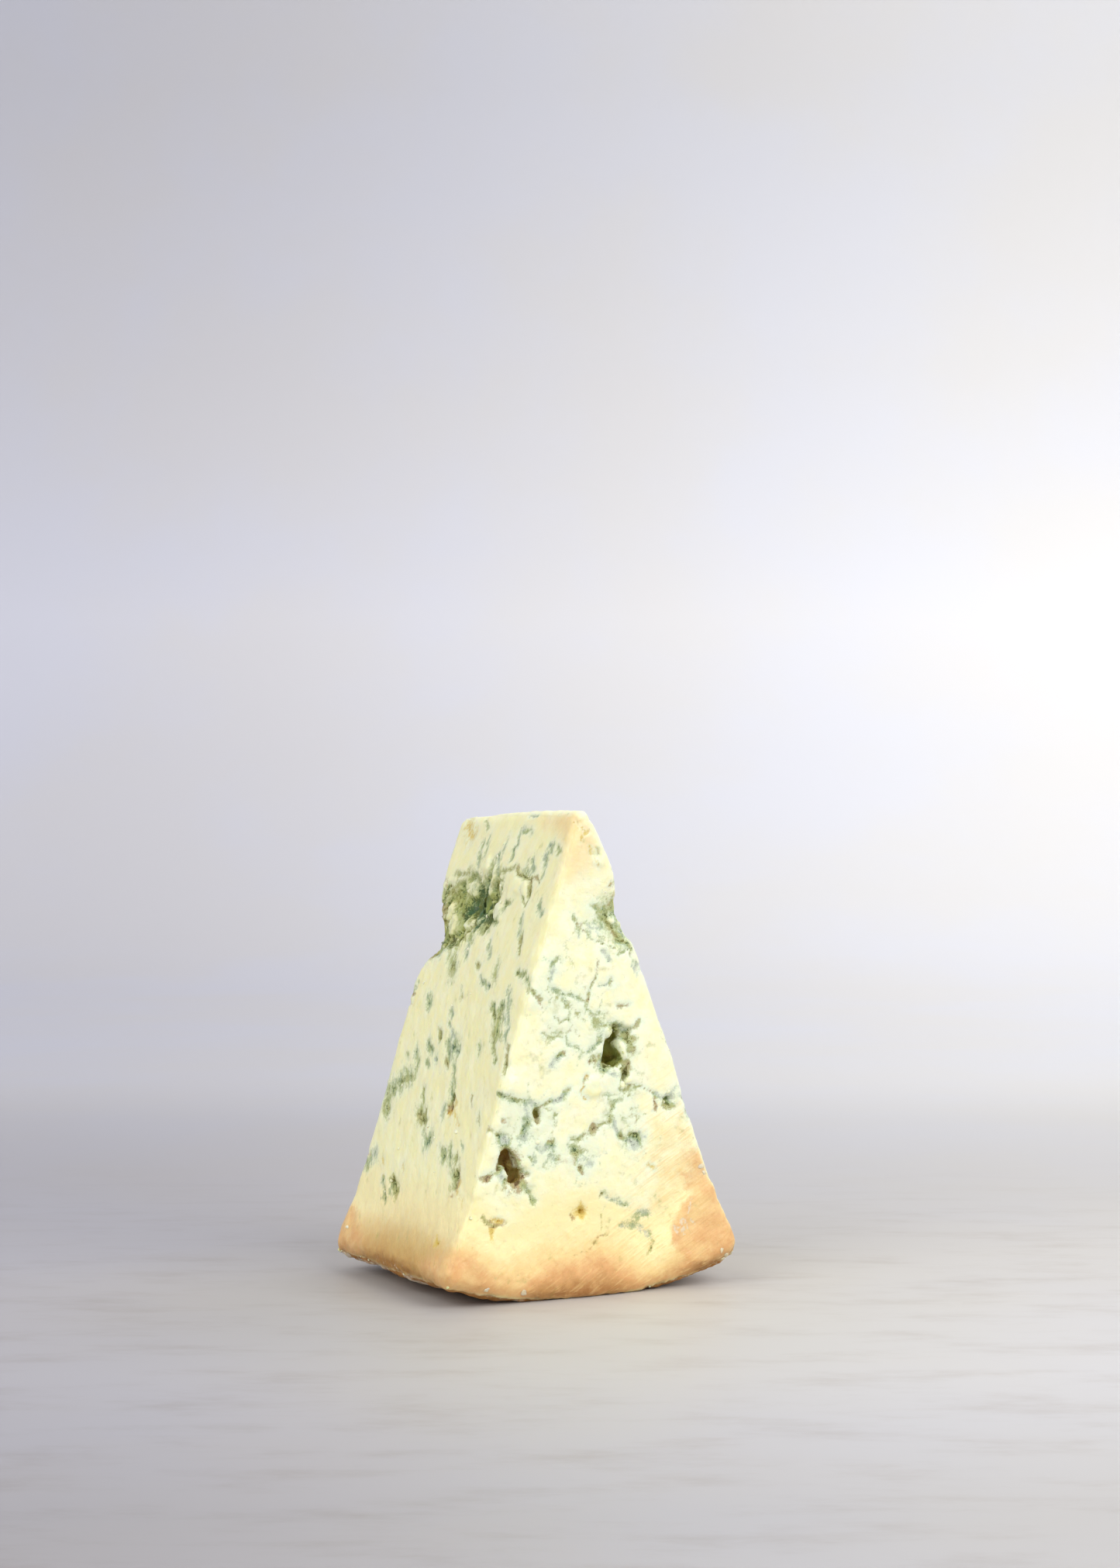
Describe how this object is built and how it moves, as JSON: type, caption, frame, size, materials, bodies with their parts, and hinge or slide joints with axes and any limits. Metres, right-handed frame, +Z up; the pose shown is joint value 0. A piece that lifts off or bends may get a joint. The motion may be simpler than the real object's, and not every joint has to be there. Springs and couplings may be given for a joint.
{
  "type": "blue cheese wedge",
  "caption": "Wedge of blue cheese with mouldy veins, holes and a brown rind, standing on its rind with the thin end up.",
  "frame": {"origin": "middle of the bounding box's base, on the surface that the wedge stands on", "axes": "+Z up, from the rind to the thin end; the wheel's axis lies along Y, and the front cut face looks along -Y"},
  "size_m": [0.0656, 0.0548, 0.0955],
  "materials": {
    "cheese_paste": "moist, crumbly, satin"
  },
  "bodies": {
    "root": {"cheese_wedge": "cheese_paste"}
  },
  "joints": []
}
